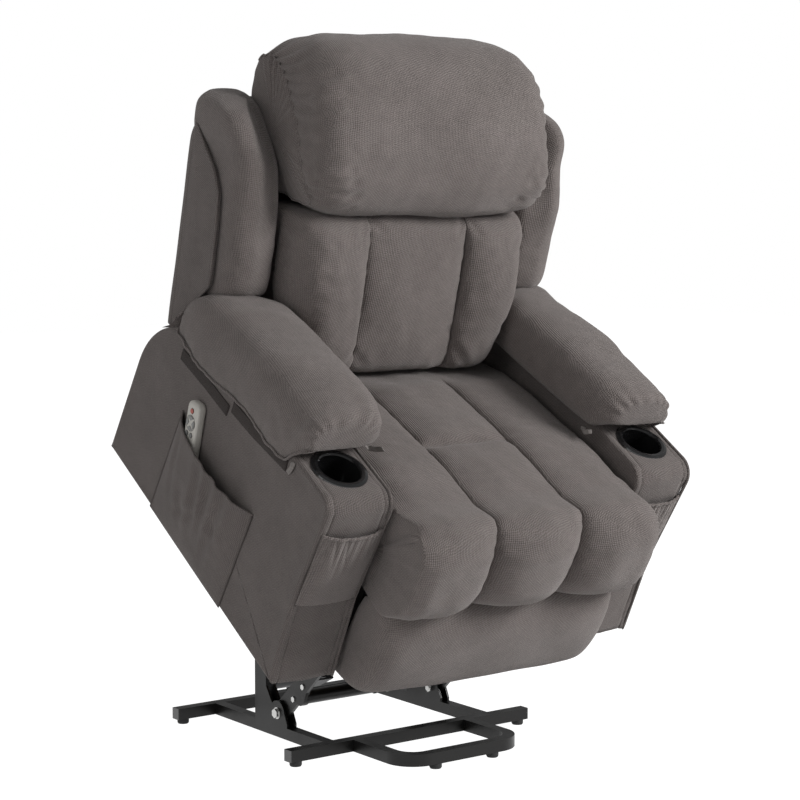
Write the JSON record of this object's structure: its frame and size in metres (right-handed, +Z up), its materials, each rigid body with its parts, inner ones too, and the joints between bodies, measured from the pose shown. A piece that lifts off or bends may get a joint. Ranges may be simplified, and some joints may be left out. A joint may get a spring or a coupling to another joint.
{
  "type": "lift recliner chair",
  "caption": "Powered lift recliner chair, raised: padded seat, back, head pillow, arm pads, cup holders and pockets on a lift linkage over a steel floor frame.",
  "frame": {"origin": "on the floor, at the middle of the raised chair's footprint", "axes": "+Z up, -Y the way a sitter faces, +X to the right seen from in front"},
  "size_m": [1.0044, 0.9253, 1.518],
  "materials": {
    "black_steel": "satin black powder coat",
    "bright_steel": "zinc plated",
    "rubber": "matte",
    "black_plastic": "gloss black",
    "motor_housing": "fine texture",
    "timber": "bare board",
    "side_fabric": "woven chenille, flat",
    "cushion_fabric": "woven chenille, padded",
    "handset_shell": "off-white",
    "power_key": "satin",
    "grey_key": "satin"
  },
  "bodies": {
    "base": {"front_cross_tube": "black_steel", "rear_cross_tube": "black_steel", "side_rails": "black_steel", "front_loop": "black_steel", "pivot_bracket_left": "black_steel", "pivot_bracket_right": "black_steel", "base_feet": "rubber", "tube_end_caps": "black_plastic", "motor_anchor": "black_steel", "base_pivot_bolts": "bright_steel"},
    "lift_arms": {"lift_arm_left": "black_steel", "lift_arm_right": "black_steel", "torsion_tube": "black_steel", "arm_bolts": "bright_steel"},
    "guide_links": {"guide_link_left": "black_steel", "guide_link_right": "black_steel", "guide_bolts": "bright_steel"},
    "lift_drive": {"lift_motor": "motor_housing"},
    "lift_ram": {"lift_rod": "bright_steel"},
    "recline_drive": {"recline_motor": "motor_housing"},
    "recline_ram": {"recline_rod": "bright_steel"},
    "leg_rest": {"legrest_frame": "black_steel", "legrest_panel": "cushion_fabric", "legrest_pad": "cushion_fabric"},
    "back": {"back_board": "timber", "back_hinges": "black_steel", "back_shell": "side_fabric", "wing_left": "cushion_fabric", "wing_right": "cushion_fabric", "back_cushion": "cushion_fabric", "head_pillow": "cushion_fabric"},
    "remote": {"handset": "handset_shell"},
    "power_button_body": {"power_button": "power_key"},
    "key_up_body": {"key_up": "grey_key"},
    "key_down_body": {"key_down": "grey_key"},
    "key_front_body": {"key_front": "grey_key"},
    "key_rear_body": {"key_rear": "grey_key"},
    "round_button_a_body": {"round_button_a": "grey_key"},
    "round_button_b_body": {"round_button_b": "grey_key"},
    "chassis": {"chassis_sides": "black_steel", "chassis_front_tube": "black_steel", "chassis_rear_tube": "black_steel", "lift_brackets": "black_steel", "chassis_bolts": "bright_steel", "seat_front_rail": "timber", "leg_lugs": "black_steel", "seat_side_boards": "timber", "seat_deck": "timber", "seat_cushion": "cushion_fabric", "arm_left": "side_fabric", "arm_right": "side_fabric", "arm_pad_left": "cushion_fabric", "arm_pad_right": "cushion_fabric", "cup_holder_left": "black_plastic", "cup_holder_right": "black_plastic", "front_pocket_left": "cushion_fabric", "front_pocket_right": "cushion_fabric", "side_pocket_left": "side_fabric", "side_pocket_right": "side_fabric"}
  },
  "joints": [
    {"name": "lift", "type": "hinge", "parent": "base", "child": "lift_arms", "pos_m": [0, 0.1765, 0.063], "axis": [1, 0, 0], "range_deg": [0, 37.3]},
    {"name": "chassis_tilt", "type": "hinge", "parent": "lift_arms", "child": "chassis", "pos_m": [0, -0.11047, 0.32816], "axis": [1, 0, 0], "range_deg": [-70.35, 0.05]},
    {"name": "guide_swing", "type": "hinge", "parent": "base", "child": "guide_links", "pos_m": [0, 0.2425, 0.19], "axis": [1, 0, 0], "range_deg": [-0.05, 27.98]},
    {"name": "lift_drive_swing", "type": "hinge", "parent": "base", "child": "lift_drive", "pos_m": [0, 0.4175, 0.062], "axis": [1, 0, 0], "range_deg": [-0.05, 9.62]},
    {"name": "lift_ram_slide", "type": "slide", "parent": "lift_drive", "child": "lift_ram", "axis": [0, -0.8937, 0.4487], "range_m": [-0.0002, 0.05875]},
    {"name": "recline", "type": "hinge", "parent": "chassis", "child": "back", "pos_m": [0, 0.25066, 0.83693], "axis": [-1, 0, 0], "range_deg": [0, 40]},
    {"name": "recline_drive_swing", "type": "hinge", "parent": "chassis", "child": "recline_drive", "pos_m": [0.09, -0.14002, 0.41032], "axis": [1, 0, 0], "range_deg": [-0.05, 5.87]},
    {"name": "recline_ram_slide", "type": "slide", "parent": "recline_drive", "child": "recline_ram", "axis": [0, 0.8336, 0.5524], "range_m": [-0.08273, 0.0002]},
    {"name": "leg_rest_swing", "type": "hinge", "parent": "chassis", "child": "leg_rest", "pos_m": [0, -0.37643, 0.49527], "axis": [-1, 0, 0], "range_deg": [0, 82]},
    {"name": "handset_lift", "type": "slide", "parent": "chassis", "child": "remote", "axis": [0, -0.3007, 0.9537], "range_m": [0, 0.03]},
    {"name": "power_button_press", "type": "slide", "parent": "remote", "child": "power_button_body", "axis": [1, 0, 0], "range_m": [0, 0.001], "stiffness_N_per_m": 500},
    {"name": "key_up_press", "type": "slide", "parent": "remote", "child": "key_up_body", "axis": [1, 0, 0], "range_m": [0, 0.001], "stiffness_N_per_m": 500},
    {"name": "key_down_press", "type": "slide", "parent": "remote", "child": "key_down_body", "axis": [1, 0, 0], "range_m": [0, 0.001], "stiffness_N_per_m": 500},
    {"name": "key_front_press", "type": "slide", "parent": "remote", "child": "key_front_body", "axis": [1, 0, 0], "range_m": [0, 0.001], "stiffness_N_per_m": 500},
    {"name": "key_rear_press", "type": "slide", "parent": "remote", "child": "key_rear_body", "axis": [1, 0, 0], "range_m": [0, 0.001], "stiffness_N_per_m": 500},
    {"name": "round_button_a_press", "type": "slide", "parent": "remote", "child": "round_button_a_body", "axis": [1, 0, 0], "range_m": [0, 0.001], "stiffness_N_per_m": 500},
    {"name": "round_button_b_press", "type": "slide", "parent": "remote", "child": "round_button_b_body", "axis": [1, 0, 0], "range_m": [0, 0.001], "stiffness_N_per_m": 500}
  ],
  "couplings": [
    {"joint": "chassis_tilt", "follows": "lift", "ratio": -1.8846},
    {"joint": "guide_swing", "follows": "lift", "ratio": 0.74876},
    {"joint": "lift_drive_swing", "follows": "lift", "ratio": 0.25656},
    {"joint": "lift_ram_slide", "follows": "lift", "m_per_rad": 0.089923},
    {"joint": "recline_drive_swing", "follows": "recline", "ratio": 0.14552},
    {"joint": "recline_ram_slide", "follows": "recline", "m_per_rad": -0.11821}
  ]
}
